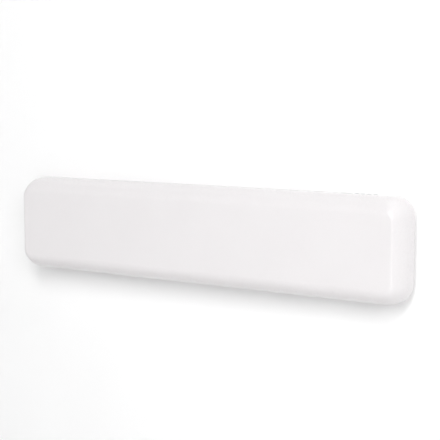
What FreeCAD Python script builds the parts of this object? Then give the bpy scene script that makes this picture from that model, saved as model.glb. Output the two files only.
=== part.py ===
import FreeCAD, Part
import Sketcher
import math
import os
from types import SimpleNamespace

# A low wall-hung panel heater: a drawn steel cover on a back panel, a finned heating element and its
# electronics inside, hung by two pins in the hook notches of a wall bracket.
# All lengths are in millimetres. X runs to the heater's right, Y into the wall and Z up.
# Depth is counted from the wall towards the room, so a point at depth d lies at Y = -d.

doc = FreeCAD.newDocument("panel_heater")

# Driving sizes

SIZES = {
    # Whole heater
    "width": 1150.0,
    "height": 250.0,
    "wall_gap": 18.0,
    "cover_depth": 81.0,
    # Drawn cover: outline corner, the ends' tight bend, and the elliptical top and bottom edges
    "corner": 46.0,
    "front_corner": 10.0,
    "end_width": 23.0,
    "end_bend": 8.0,
    "edge_up": 42.0,
    "edge_depth": 50.0,
    "cover_sheet": 1.2,
    "lip_width": 12.0,
    # Back panel
    "panel_sheet": 1.0,
    "panel_inset": 3.0,
    "slot_length": 22.0,
    "slot_height": 4.0,
    # Wall bracket
    "bracket_sheet": 1.5,
    "upright_spacing": 520.0,
    "upright_width": 36.0,
    "upright_foot": 100.0,
    "flange_depth": 15.0,
    "wall_hole_spacing": 120.0,
    "wall_hole_radius": 3.0,
    "rail_height": 40.0,
    "rail_depth": 12.0,
    "rail_up": 20.0,
    "bumper_down": 85.0,
    "bumper_radius": 8.0,
    # Hanging pivot
    "pivot_up": 92.0,
    "pivot_out": 9.0,
    "pin_radius": 3.0,
    "ear_radius": 6.0,
    "hanger_width": 28.0,
    # Heating element
    "element_out": 58.0,
    "element_down": 20.0,
    "fin_reach": 42.0,
    "fin_sheet": 1.6,
    "fin_angle": 32.0,
    "hub_radius": 7.0,
    "rod_radius": 4.0,
    "rod_overhang": 40.0,
    "shield_sheet": 0.8,
    "shield_half": 66.0,
    "shield_foot": 10.0,
    "shield_out": 30.0,
    # Electronics tray
    "tray_width": 115.0,
    "tray_height": 150.0,
    "tray_depth": 45.0,
    "tray_wall": 2.0,
    "board_sheet": 1.6,
    "board_out": 27.0,
    # Openings in the top and bottom of the cover
    "opening_depth": 15.0,
    "opening_out": 31.5,
    "grille_length": 860.0,
    "control_length": 120.0,
    "control_inset": 130.0,
    # Push buttons
    "button_radius": 5.0,
    "button_pitch": 16.0,
    "button_proud": 0.8,
    "button_travel": 0.8,
    # Mains switch
    "rocker_half": 6.6,
    "rocker_tilt": 9.0,
    # Cord gland
    "cord_hole_radius": 4.2,
    # Fits
    "running_gap": 0.35,
    "seat_gap": 0.1,
}


class Length:
    """A size together with the sheet expression that gives it."""

    def __init__(self, text, value):
        self.text = text
        self.value = value

    def join(self, sign, other, value):
        return Length("(%s %s %s)" % (self.text, sign, other.text), value)

    def __add__(self, other):
        other = length(other)
        return self.join("+", other, self.value + other.value)

    def __radd__(self, other):
        return length(other) + self

    def __sub__(self, other):
        other = length(other)
        return self.join("-", other, self.value - other.value)

    def __rsub__(self, other):
        return length(other) - self

    def __mul__(self, other):
        other = length(other)
        return self.join("*", other, self.value * other.value)

    def __rmul__(self, other):
        return length(other) * self

    def __truediv__(self, other):
        other = length(other)
        return self.join("/", other, self.value / other.value)

    def __neg__(self):
        return self * -1

    def root(self):
        return Length("sqrt(%s)" % self.text, math.sqrt(self.value))


def length(value):
    return value if isinstance(value, Length) else Length("(%.6f)" % value, float(value))


sheet = doc.addObject("Spreadsheet::Sheet", "Sizes")
for row, (name, value) in enumerate(SIZES.items(), start=1):
    sheet.set("A%d" % row, name)
    sheet.set("B%d" % row, str(value))
    sheet.setAlias("B%d" % row, name)
doc.recompute()
size = SimpleNamespace(**{name: Length("Sizes." + name, value) for name, value in SIZES.items()})

nodes = []


def bind(item, prop, value):
    item.setExpression(prop, length(value).text)


def node(name, item):
    item.Label = name
    nodes.append(item)
    return item


# Solids bound to the sheet

ALONG = {
    "x": FreeCAD.Rotation(FreeCAD.Vector(0, 1, 0), 90),
    "depth": FreeCAD.Rotation(FreeCAD.Vector(1, 0, 0), 90),
    "z": FreeCAD.Rotation(),
}


def place(item, x, depth, z):
    bind(item, "Placement.Base.x", x)
    bind(item, "Placement.Base.y", -length(depth))
    bind(item, "Placement.Base.z", z)


def block(name, x, depth, z):
    """A box given by its (low, high) limits in x, depth and z."""
    item = doc.addObject("Part::Box", name)
    bind(item, "Length", length(x[1]) - x[0])
    bind(item, "Width", length(depth[1]) - depth[0])
    bind(item, "Height", length(z[1]) - z[0])
    place(item, x[0], depth[1], z[0])
    return item


def span(centre, size_across):
    """Low and high limit of a size held centrally."""
    half = length(size_across) / 2
    return (length(centre) - half, length(centre) + half)


def rod(name, along, radius, start, end, x=0, depth=0, z=0):
    """A cylinder along x, depth or z, from start to end on that axis."""
    item = doc.addObject("Part::Cylinder", name)
    item.Placement.Rotation = ALONG[along]
    bind(item, "Radius", radius)
    bind(item, "Height", length(end) - start)
    where = {"x": x, "depth": depth, "z": z}
    where[along] = start
    place(item, where["x"], where["depth"], where["z"])
    return item


def hexagon(name, across, start, end, x, z):
    """A hexagonal prism along the depth."""
    item = doc.addObject("Part::Prism", name)
    item.Polygon = 6
    item.Placement.Rotation = ALONG["depth"]
    bind(item, "Circumradius", length(across) / 2)
    bind(item, "Height", length(end) - start)
    place(item, x, start, z)
    return item


def fuse(name, *items):
    item = doc.addObject("Part::MultiFuse", name)
    item.Shapes = list(items)
    return item


def group(name, *items):
    item = doc.addObject("Part::Compound", name)
    item.Links = list(items)
    return item


def cut(name, base, *tools):
    item = doc.addObject("Part::Cut", name)
    item.Base = base
    item.Tool = tools[0] if len(tools) == 1 else group(name + "_tools", *tools)
    return item


def screw(name, x, z, head_face, reach, radius=1.5, towards=1):
    """A pan-head screw along the depth; the head bears on head_face and the shank runs on from it."""
    head_height = 2.0
    head_share = 2.1
    slot_share = 3.0
    slot_width = 0.8
    head_end = length(head_face) - towards * head_height
    tip = length(head_face) + towards * reach
    low, high = (head_end, head_face) if towards > 0 else (head_face, head_end)
    shank_low, shank_high = (head_face, tip) if towards > 0 else (tip, head_face)
    head = rod(name + "_head", "depth", radius * head_share, low, high, x=x, z=z)
    shank = rod(name + "_shank", "depth", radius, shank_low, shank_high, x=x, z=z)
    slot_floor = head_end + towards * head_height / 2
    slot_limits = (head_end, slot_floor) if towards > 0 else (slot_floor, head_end)
    slot = block(name + "_slot", span(x, radius * slot_share), slot_limits, span(z, slot_width))
    return cut(name, fuse(name + "_blank", head, shank), slot)


rivet_radius = 2.0


def rivet(name, along, start, end, x=0, depth=0, z=0):
    """A rivet whose two heads close on the faces at start and end."""
    radius = rivet_radius
    head_share = 1.7
    head_radius = radius * head_share
    head = 1.2
    shank = rod(name + "_shank", along, radius, start, end, x=x, depth=depth, z=z)
    first = rod(name + "_first", along, head_radius, length(start) - head, start, x=x, depth=depth, z=z)
    second = rod(name + "_second", along, head_radius, end, length(end) + head, x=x, depth=depth, z=z)
    return fuse(name, shank, first, second)


# Bodies built from sketches

def new_body(name):
    return doc.addObject("PartDesign::Body", name)


def new_sketch(body, name, plane, offset, across=0, up=0):
    """A sketch on an origin plane of the body. On XZ the offset is the depth."""
    item = body.newObject("Sketcher::SketchObject", name)
    planes = [feature for feature in body.Origin.OriginFeatures if feature.Role == plane + "_Plane"]
    item.AttachmentSupport = (planes[0], [""])
    item.MapMode = "FlatFace"
    bind(item, "AttachmentOffset.Base.x", across)
    bind(item, "AttachmentOffset.Base.y", up)
    bind(item, "AttachmentOffset.Base.z", offset)
    return item


def dimension(sketch, name, value, kind, *where):
    """A named driving dimension of the sketch, bound to the sheet."""
    value = length(value)
    index = sketch.addConstraint(Sketcher.Constraint(kind, *where, value.value))
    sketch.renameConstraint(index, name)
    sketch.setExpression("Constraints." + name, value.text)


def draw_rounded(sketch, half_across, half_up, radius, tag=""):
    """A rectangle with round corners about the sketch's origin."""
    a, b, r = length(half_across).value, length(half_up).value, length(radius).value
    middles = [(a - r, r - b), (a - r, b - r), (r - a, b - r), (r - a, r - b)]
    first = sketch.GeometryCount
    up = FreeCAD.Vector(0, 0, 1)
    for turn, (mx, my) in enumerate(middles):
        low = math.radians(90 * turn - 90)
        before_x, before_y = middles[turn - 1]
        start = FreeCAD.Vector(before_x + r * math.cos(low), before_y + r * math.sin(low), 0)
        end = FreeCAD.Vector(mx + r * math.cos(low), my + r * math.sin(low), 0)
        sketch.addGeometry(Part.LineSegment(start, end), False)
        circle = Part.Circle(FreeCAD.Vector(mx, my, 0), up, r)
        sketch.addGeometry(Part.ArcOfCircle(circle, low, low + math.pi / 2), False)
    ring = [first + index for index in range(8)]
    for index in range(8):
        sketch.addConstraint(Sketcher.Constraint("Tangent", ring[index], 2, ring[(index + 1) % 8], 1))
    for line, kind in ((0, "Horizontal"), (2, "Vertical"), (4, "Horizontal"), (6, "Vertical")):
        sketch.addConstraint(Sketcher.Constraint(kind, ring[line]))
    for arc in (3, 5, 7):
        sketch.addConstraint(Sketcher.Constraint("Equal", ring[1], ring[arc]))
    dimension(sketch, "radius" + tag, radius, "Radius", ring[1])
    dimension(sketch, "right" + tag, half_across, "DistanceX", -1, 1, ring[2], 1)
    dimension(sketch, "left" + tag, half_across, "DistanceX", ring[6], 1, -1, 1)
    dimension(sketch, "top" + tag, half_up, "DistanceY", -1, 1, ring[4], 1)
    dimension(sketch, "bottom" + tag, half_up, "DistanceY", ring[0], 1, -1, 1)


def draw_profile(sketch, points):
    """A closed outline through the given points, each one held to the sketch's origin."""
    points = [(length(x), length(y)) for x, y in points]
    count = len(points)
    for index in range(count):
        (x0, y0), (x1, y1) = points[index], points[(index + 1) % count]
        start = FreeCAD.Vector(x0.value, y0.value, 0)
        sketch.addGeometry(Part.LineSegment(start, FreeCAD.Vector(x1.value, y1.value, 0)), False)
    for index in range(count):
        sketch.addConstraint(Sketcher.Constraint("Coincident", index, 2, (index + 1) % count, 1))
    for index, (x, y) in enumerate(points):
        for kind, value, axis in (("DistanceX", x, -2), ("DistanceY", y, -1)):
            if abs(value.value) < 1e-9:
                sketch.addConstraint(Sketcher.Constraint("PointOnObject", index, 1, axis))
            elif value.value > 0:
                dimension(sketch, "%s_%d" % (kind, index), value, kind, -1, 1, index, 1)
            else:
                dimension(sketch, "%s_%d" % (kind, index), -value, kind, index, 1, -1, 1)


def draw_circle(sketch, radius):
    """A circle about the sketch's origin."""
    centre = FreeCAD.Vector(0, 0, 0)
    sketch.addGeometry(Part.Circle(centre, FreeCAD.Vector(0, 0, 1), length(radius).value), False)
    sketch.addConstraint(Sketcher.Constraint("Coincident", 0, 3, -1, 1))
    dimension(sketch, "radius", radius, "Radius", 0)


def pad(body, name, sketch, reach):
    item = body.newObject("PartDesign::Pad", name)
    item.Profile = sketch
    bind(item, "Length", reach)
    sketch.Visibility = False
    return item


def pocket(body, name, sketch, reach):
    """Material taken out along the sketch's normal."""
    item = body.newObject("PartDesign::Pocket", name)
    item.Profile = sketch
    item.Reversed = True
    bind(item, "Length", reach)
    return item


def loft(body, name, sketches):
    item = body.newObject("PartDesign::AdditiveLoft", name)
    item.Profile = sketches[0]
    item.Sections = sketches[1:]
    item.Ruled = False
    return item


def row(body, name, feature, sketch, axis, reach, count):
    """Equal copies of a feature along an axis of its sketch."""
    item = body.newObject("PartDesign::LinearPattern", name)
    item.Originals = [feature]
    item.Direction = (sketch, [axis])
    bind(item, "Length", reach)
    item.Occurrences = count
    body.Tip = item
    return item


def plate(name, half_across, half_up, radius, depth, thickness, across=0, up=0):
    """A rounded plate parallel to the wall."""
    body = new_body(name)
    sketch = new_sketch(body, name + "_outline", "XZ", depth, across, up)
    draw_rounded(sketch, half_across, half_up, radius)
    pad(body, name + "_pad", sketch, thickness)
    return body


# Shared positions

cover_back = size.wall_gap + size.panel_sheet
cover_front = cover_back + size.cover_depth
half_width = size.width / 2
half_height = size.height / 2
inner_top = half_height - size.cover_sheet
panel_front = cover_back
control_x = half_width - size.control_inset
tray_inset = 70.0
tray_right = half_width - tray_inset
tray_left = tray_right - size.tray_width
tray_middle = (tray_left + tray_right) / 2
element_inset = 115.0
element_start = element_inset - half_width
element_tray_gap = 70.0
element_end = tray_left - element_tray_gap
grille_gap = 20.0
grille_x = control_x - size.control_length / 2 - grille_gap - size.grille_length / 2

# Cutting tools reach this far past the faces they cut
overcut = 1.0

# Front cover: one drawn sheet with a lip turned in at the back. Its top and bottom edges are elliptical; each
# end turns through a tight bend and then falls back to the side wall in one wide arc.

END_TURN = math.radians(62)
EDGE_SHARES = (0, 0.0015, 0.006, 0.014, 0.03, 0.06, 0.11, 0.18, 0.28, 0.42, 0.6, 0.8, 1)
TAIL_SHARES = (0, 0.35, 0.7, 1)
end_arc = (size.end_width - size.end_bend * math.sin(END_TURN)) / (1 - math.sin(END_TURN))
bend_fall = size.end_bend * (1 - math.cos(END_TURN))
end_fall = bend_fall + end_arc * math.cos(END_TURN)


def end_inset(fall):
    """How far the ends lie inside the full width, at this distance behind the front."""
    if fall.value >= end_fall.value:
        return length(0)
    if fall.value > bend_fall.value:
        rest = end_fall - fall
        return end_arc - (end_arc * end_arc - rest * rest).root()
    rest = size.end_bend - fall
    return size.end_width - (size.end_bend * size.end_bend - rest * rest).root()


def edge_curl(fall):
    """The share of the elliptical edge's rise still to come, at this distance behind the front."""
    if fall.value >= size.edge_depth.value:
        return length(0)
    rest = 1 - fall / size.edge_depth
    return 1 - (1 - rest * rest).root()


def drawn_solid(name, skin, back):
    """The drawn shape, skin thinner all round, from the front down to the given depth from the wall."""
    body = new_body(name)

    def section(tag, fall):
        curl = edge_curl(fall)
        sketch = new_sketch(body, "%s_%s" % (name, tag), "XZ", cover_front - skin - fall)
        radius = size.corner - skin - (size.corner - size.front_corner) * curl
        half_across = half_width - skin - end_inset(fall)
        draw_rounded(sketch, half_across, half_height - skin - size.edge_up * curl, radius)
        return sketch

    falls = [size.edge_depth * share for share in EDGE_SHARES]
    loft(body, name + "_edge", [section("edge_%d" % step, fall) for step, fall in enumerate(falls)])
    tail = end_fall - size.edge_depth
    straight_start = size.edge_depth
    if tail.value > 0:
        falls = [size.edge_depth + tail * share for share in TAIL_SHARES]
        loft(body, name + "_tail", [section("tail_%d" % step, fall) for step, fall in enumerate(falls)])
        straight_start = end_fall
    wall = new_sketch(body, name + "_wall_outline", "XZ", back)
    draw_rounded(wall, half_width - skin, half_height - skin, size.corner - skin)
    pad(body, name + "_wall", wall, cover_front - skin - straight_start - back)
    return body


cover_outside = drawn_solid("cover_outside", length(0), cover_back)
cover_inside = drawn_solid("cover_inside", size.cover_sheet, cover_back + size.cover_sheet)
cover_mouth = plate("cover_mouth", half_width - size.lip_width, half_height - size.lip_width,
                    size.corner - size.lip_width, cover_back - overcut, size.cover_sheet + 2 * overcut)

opening_limits = span(size.opening_out, size.opening_depth)
through_top = (inner_top - overcut, half_height + overcut)
through_bottom = (-half_height - overcut, overcut - inner_top)
outlet_opening = block("outlet_opening", span(grille_x, size.grille_length), opening_limits, through_top)
inlet_opening = block("inlet_opening", span(grille_x, size.grille_length), opening_limits, through_bottom)
control_opening = block("control_opening", span(control_x, size.control_length), opening_limits, through_top)

switch_length = 21.0
switch_depth = 14.8
switch_opening = block("switch_opening", span(control_x, switch_length),
                       span(size.opening_out, switch_depth), through_bottom)
sensor_side = 35.0
sensor_x = control_x + sensor_side
sensor_radius = 7.0
sensor_opening = rod("sensor_opening", "z", sensor_radius + size.running_gap, through_bottom[0],
                     through_bottom[1], x=sensor_x, depth=size.opening_out)

screw_radius = 1.5
cover_screw_reach = 8.0
screw_row_inset = 55.0
screw_inset = (size.lip_width + size.panel_inset) / 2
screw_row = half_height - screw_inset
screw_places = [(side * (half_width - screw_inset), length(0)) for side in (-1, 1)]
for level in (-1, 1):
    for step in (-2, -1, 0, 1, 2):
        screw_places.append(((half_width - screw_row_inset) * step / 2, level * screw_row))


def screw_holes(name, places, low, high, radius=screw_radius):
    holes = []
    for index, (x, z) in enumerate(places):
        holes.append(rod("%s_%d" % (name, index), "depth", radius + size.seat_gap, low, high, x=x, z=z))
    return holes


cover_shell = cut("cover_shell", cover_outside, cover_inside, cover_mouth)
node("front_cover", cut(
    "front_cover", cover_shell, outlet_opening, inlet_opening, control_opening, switch_opening,
    sensor_opening,
    *screw_holes("lip_hole", screw_places, cover_back - overcut, cover_back + size.cover_sheet + overcut)))
node("cover_screws", group("cover_screws", *[
    screw("cover_screw_%d" % index, x, z, size.wall_gap, cover_screw_reach)
    for index, (x, z) in enumerate(screw_places)]))

# Grilles: flat slotted strips flush with the cover, each on a flange behind its opening

GRILLE_COLUMNS = 24
grille_flange = 3.0
grille_thickness = 2.6
grille_end = 15.0
slot_bridge = 3.0
slot_row_share = 0.22
slot_half_share = 0.14
# Slots keep this much straight between their round ends
slot_straight = 0.1


def grille(name, level):
    """A slotted strip in the top (level 1) or the bottom (level -1) of the cover."""
    body = new_body(name)
    half_long = size.grille_length / 2 - size.running_gap
    half_deep = size.opening_depth / 2 - size.running_gap
    edge = 2.0
    face = half_height if level > 0 else grille_thickness - half_height
    outline = new_sketch(body, name + "_outline", "XY", face - grille_thickness, grille_x, -size.opening_out)
    draw_rounded(outline, half_long, half_deep, edge)
    pad(body, name + "_face", outline, grille_thickness)
    flange_base = half_height - grille_thickness if level > 0 else size.seat_gap - inner_top
    flange_depth = inner_top - size.seat_gap - (half_height - grille_thickness)
    flange = new_sketch(body, name + "_flange_outline", "XY", flange_base, grille_x, -size.opening_out)
    draw_rounded(flange, half_long + grille_flange, half_deep + grille_flange, edge)
    pad(body, name + "_flange", flange, flange_depth)
    pitch = (size.grille_length - 2 * grille_end) / GRILLE_COLUMNS
    first_column = grille_x - pitch * (GRILLE_COLUMNS - 1) / 2
    for line, side in (("front", -1), ("rear", 1)):
        depth = size.opening_out - side * size.opening_depth * slot_row_share
        slot = new_sketch(body, "%s_%s_slot" % (name, line), "XY", face - grille_thickness, first_column,
                          -depth)
        slot_half = size.opening_depth * slot_half_share
        draw_rounded(slot, pitch / 2 - slot_bridge, slot_half, slot_half - slot_straight)
        feature = pocket(body, "%s_%s_pocket" % (name, line), slot, grille_thickness)
        row(body, "%s_%s_row" % (name, line), feature, slot, "H_Axis", pitch * (GRILLE_COLUMNS - 1),
            GRILLE_COLUMNS)
    return node(name, body)


grille("outlet_grille", 1)
grille("inlet_grille", -1)

# Back panel: flat sheet behind the cover's lip, with two pressed ribs and two rows of air slots low down

PANEL_COLUMNS = 24
slot_drop = 12.0
slot_row_gap = 5.0
rib_up = 40.0
rib_half = 7.0
rib_rise = 3.0
rib_inset = 45.0
rivet_below_pin = 10.0
hanger_rivet_up = size.pivot_up - rivet_below_pin
hanger_rivet_side = 8.0
foot_side = 10.0
gland_side = 45.0
gland_rise = 30.0
gland_x = control_x - gland_side
gland_z = gland_rise - half_height
gland_sleeve = 8.0
earth_side = 25.0
earth_radius = 2.0
earth_x = tray_left - earth_side
earth_z = -(half_height / 2)
upright_places = {"left": -size.upright_spacing / 2, "right": size.upright_spacing / 2}
hanger_rivet_places = []
for middle in upright_places.values():
    for side in (-1, 1):
        hanger_rivet_places.append((middle + side * hanger_rivet_side, hanger_rivet_up))
foot_reach = 25.0
bracket_foot_x = {"left": element_start - foot_reach, "right": element_end + foot_reach}
element_screw_places = []
for foot in bracket_foot_x.values():
    for side in (-1, 1):
        element_screw_places.append((foot, side * foot_side - size.element_down))
tray_screw_side = 30.0
tray_screw_places = []
for across in (-1, 1):
    for up in (-1, 1):
        tray_screw_places.append((tray_middle + across * tray_screw_side, up * size.tray_height / 4))
shield_over = 5.0
shield_rivet_share = 0.42
shield_left = element_start - shield_over
shield_right = element_end + shield_over
shield_rivet_up = size.shield_half + size.shield_foot / 2
shield_rivet_places = []
for step in (-1, 0, 1):
    for level in (-1, 1):
        shield_x = (shield_left + shield_right) / 2 + step * (shield_right - shield_left) * shield_rivet_share
        shield_rivet_places.append((shield_x, level * shield_rivet_up))

panel_blank = plate("panel_blank", half_width - size.panel_inset, half_height - size.panel_inset,
                    size.corner - size.panel_inset, size.wall_gap, size.panel_sheet)
slot_pitch = (shield_right - shield_left) / PANEL_COLUMNS
first_slot = (shield_left + shield_right) / 2 - slot_pitch * (PANEL_COLUMNS - 1) / 2
for line in (0, 1):
    slot_up = -(size.shield_half + size.shield_foot + slot_drop + line * (size.slot_height + slot_row_gap))
    slot_sketch = new_sketch(panel_blank, "air_slot_%d" % line, "XZ", size.wall_gap, first_slot, slot_up)
    slot_half = size.slot_height / 2
    draw_rounded(slot_sketch, size.slot_length / 2, slot_half, slot_half - slot_straight)
    slot_pocket = pocket(panel_blank, "air_slot_pocket_%d" % line, slot_sketch, size.panel_sheet)
    row(panel_blank, "air_slot_row_%d" % line, slot_pocket, slot_sketch, "H_Axis",
        slot_pitch * (PANEL_COLUMNS - 1), PANEL_COLUMNS)
rib_half_long = (shield_right - shield_left) / 2 - rib_inset
for rib_name, level in (("low", -1), ("high", 1)):
    rib_place = ((shield_left + shield_right) / 2, level * rib_up)
    rise = new_sketch(panel_blank, "rib_%s_outside" % rib_name, "XZ", panel_front, *rib_place)
    draw_rounded(rise, rib_half_long, rib_half, rib_half - slot_straight)
    pad(panel_blank, "rib_%s" % rib_name, rise, rib_rise)
    hollow_half = rib_half - size.panel_sheet
    hollow = new_sketch(panel_blank, "rib_%s_inside" % rib_name, "XZ", size.wall_gap, *rib_place)
    draw_rounded(hollow, rib_half_long - size.panel_sheet, hollow_half, hollow_half - slot_straight)
    pocket(panel_blank, "rib_%s_hollow" % rib_name, hollow, rib_rise)
panel_holes = []
for hole_name, places, radius in (
        ("cover", screw_places, screw_radius),
        ("foot", element_screw_places, screw_radius),
        ("tray", tray_screw_places, screw_radius),
        ("hanger", hanger_rivet_places, rivet_radius),
        ("shield", shield_rivet_places, rivet_radius),
        ("gland", [(gland_x, gland_z)], gland_sleeve),
        ("earth", [(earth_x, earth_z)], earth_radius)):
    panel_holes += screw_holes("panel_%s_hole" % hole_name, places, size.wall_gap - overcut,
                               panel_front + overcut, radius)
node("back_panel", cut("back_panel", panel_blank, *panel_holes))

# Wall bracket: two folded channels with hook notches, tied by a folded rail and standing off on bumpers

hook_half = size.pin_radius + size.running_gap
hook_rise = 12.0
prong_rise = 5.0
upright_top = size.pivot_up + hook_rise
prong_top = size.pivot_up + prong_rise
foot_chamfer = 8.0
rail_rivet_side = 12.0
rail_rivet_share = 0.6
rail_rivet_out = size.rail_depth * rail_rivet_share
stem_radius = 3.0


def upright(name, middle, inner_side):
    """A channel on the wall; inner_side points from it to the middle of the heater."""
    body = new_body(name)
    left = middle - size.upright_width / 2
    right = middle + size.upright_width / 2 - size.bracket_sheet
    web = new_sketch(body, name + "_web_outline", "XZ", 0, middle, 0)
    half = size.upright_width / 2
    draw_profile(web, [(-half, -size.upright_foot), (half, -size.upright_foot), (half, upright_top),
                       (-half, upright_top)])
    pad(body, name + "_web", web, size.bracket_sheet)
    for flange_name, edge in (("left", left), ("right", right)):
        flange = new_sketch(body, "%s_%s_flange_outline" % (name, flange_name), "YZ", edge)
        draw_profile(flange, [
            (0, -size.upright_foot), (foot_chamfer - size.flange_depth, -size.upright_foot),
            (-size.flange_depth, foot_chamfer - size.upright_foot), (-size.flange_depth, prong_top),
            (-size.pivot_out - hook_half, prong_top), (-size.pivot_out - hook_half, size.pivot_up),
            (hook_half - size.pivot_out, size.pivot_up), (hook_half - size.pivot_out, upright_top),
            (0, upright_top)])
        pad(body, "%s_%s_flange" % (name, flange_name), flange, size.bracket_sheet)
    notch = new_sketch(body, name + "_notch_circle", "YZ", left, -size.pivot_out, size.pivot_up)
    draw_circle(notch, hook_half)
    pocket(body, name + "_notch", notch, size.upright_width)
    for level in (-1, 1):
        hole = new_sketch(body, "%s_wall_hole_%d" % (name, level), "XZ", 0, middle,
                          level * size.wall_hole_spacing / 2)
        draw_circle(hole, size.wall_hole_radius)
        pocket(body, "%s_wall_pocket_%d" % (name, level), hole, size.bracket_sheet)
        rivet_edge = right if inner_side > 0 else left
        rivet_hole = new_sketch(body, "%s_rivet_hole_%d" % (name, level), "YZ", rivet_edge, -rail_rivet_out,
                                size.rail_up + level * rail_rivet_side)
        draw_circle(rivet_hole, rivet_radius + size.seat_gap)
        pocket(body, "%s_rivet_pocket_%d" % (name, level), rivet_hole, size.bracket_sheet)
    stem_hole = new_sketch(body, name + "_stem_hole", "XZ", 0, middle, -size.bumper_down)
    draw_circle(stem_hole, stem_radius + size.seat_gap)
    pocket(body, name + "_stem_pocket", stem_hole, size.bracket_sheet)
    return node(name, body)


upright("bracket_upright_left", upright_places["left"], 1)
upright("bracket_upright_right", upright_places["right"], -1)

rail_half = size.upright_spacing / 2 - size.upright_width / 2
rail_low = size.rail_up - size.rail_height / 2
rail_high = size.rail_up + size.rail_height / 2
rail = new_body("rail_blank")
rail_profile = new_sketch(rail, "rail_profile", "YZ", -rail_half)
draw_profile(rail_profile, [
    (0, rail_low), (-size.rail_depth, rail_low),
    (-size.rail_depth, rail_low + size.bracket_sheet), (-size.bracket_sheet, rail_low + size.bracket_sheet),
    (-size.bracket_sheet, rail_high - size.bracket_sheet), (-size.rail_depth, rail_high - size.bracket_sheet),
    (-size.rail_depth, rail_high), (0, rail_high)])
pad(rail, "rail_channel", rail_profile, rail_half * 2)
for end_name, edge in (("left", -rail_half), ("right", rail_half - size.bracket_sheet)):
    tab = new_sketch(rail, "rail_tab_%s_outline" % end_name, "YZ", edge)
    draw_profile(tab, [(0, rail_low), (-size.rail_depth, rail_low), (-size.rail_depth, rail_high),
                       (0, rail_high)])
    pad(rail, "rail_tab_%s" % end_name, tab, size.bracket_sheet)
rail_holes = []
rail_rivets = []
for side in (-1, 1):
    for level in (-1, 1):
        tag = "%s_%s" % ("left" if side < 0 else "right", "low" if level < 0 else "high")
        rivet_z = size.rail_up + level * rail_rivet_side
        outer = side * (rail_half + size.bracket_sheet)
        inner = side * (rail_half - size.bracket_sheet)
        low, high = (outer, inner) if side < 0 else (inner, outer)
        rail_holes.append(rod("rail_hole_" + tag, "x", rivet_radius + size.seat_gap, low, high,
                              depth=rail_rivet_out, z=rivet_z))
        rail_rivets.append(rivet("rail_rivet_" + tag, "x", low, high, depth=rail_rivet_out, z=rivet_z))
node("bracket_rail", cut("bracket_rail", rail, *rail_holes))
node("bracket_rivets", group("bracket_rivets", *rail_rivets))

bumper_taper = 0.8
bumpers = []
for side, middle in upright_places.items():
    stem = rod("bumper_stem_" + side, "depth", stem_radius, 0, size.bracket_sheet, x=middle,
               z=-size.bumper_down)
    head = doc.addObject("Part::Cone", "bumper_head_" + side)
    head.Placement.Rotation = ALONG["depth"]
    bind(head, "Radius1", size.bumper_radius)
    bind(head, "Radius2", size.bumper_radius * bumper_taper)
    bind(head, "Height", size.wall_gap - size.running_gap - size.bracket_sheet)
    place(head, middle, size.bracket_sheet, -size.bumper_down)
    bumpers.append(fuse("bumper_" + side, stem, head))
node("bracket_bumpers", group("bracket_bumpers", *bumpers))

# Hangers: a folded plate with two ears on the back panel carries the pin that drops into the hooks

hanger_sheet = 1.5
hanger_below = 5.0
hanger_above = 10.0
pin_overhang = 3.0
hanger_plate_face = size.wall_gap - hanger_sheet
hanger_pins = []
panel_rivets = []
for side, middle in upright_places.items():
    hanger_x = span(middle, size.hanger_width)
    hanger_z = (hanger_rivet_up - hanger_below, size.pivot_up + hanger_above)
    base = block("hanger_base_" + side, hanger_x, (hanger_plate_face, size.wall_gap), hanger_z)
    pieces = [base]
    for ear in (-1, 1):
        ear_edge = middle + ear * (size.hanger_width / 2 - hanger_sheet / 2)
        ear_x = span(ear_edge, hanger_sheet)
        tag = "%s_%s" % (side, "a" if ear < 0 else "b")
        ear_up = span(size.pivot_up, size.ear_radius * 2)
        pieces.append(block("ear_" + tag, ear_x, (size.pivot_out, size.wall_gap), ear_up))
        pieces.append(rod("ear_round_" + tag, "x", size.ear_radius, ear_x[0], ear_x[1], depth=size.pivot_out,
                          z=size.pivot_up))
    hanger_body = fuse("hanger_solid_" + side, *pieces)
    pin_hole = rod("pin_hole_" + side, "x", size.pin_radius + size.seat_gap, hanger_x[0] - overcut,
                   hanger_x[1] + overcut, depth=size.pivot_out, z=size.pivot_up)
    places = [(middle + step * hanger_rivet_side, hanger_rivet_up) for step in (-1, 1)]
    holes = screw_holes("hanger_hole_" + side, places, hanger_plate_face - overcut, size.wall_gap + overcut,
                        rivet_radius)
    node("hanger_" + side, cut("hanger_" + side, hanger_body, pin_hole, *holes))
    pin_half = size.upright_width / 2 + pin_overhang
    hanger_pins.append(rod("hanger_pin_" + side, "x", size.pin_radius, middle - pin_half, middle + pin_half,
                           depth=size.pivot_out, z=size.pivot_up))
    for step, (x, z) in enumerate(places):
        panel_rivets.append(rivet("hanger_rivet_%s_%d" % (side, step), "depth", hanger_plate_face,
                                  panel_front, x=x, z=z))
node("hanger_pins", group("hanger_pins", *hanger_pins))

# Heating element: an extruded cross of fins round a sheathed rod, held in ceramic bushes on two end brackets

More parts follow.
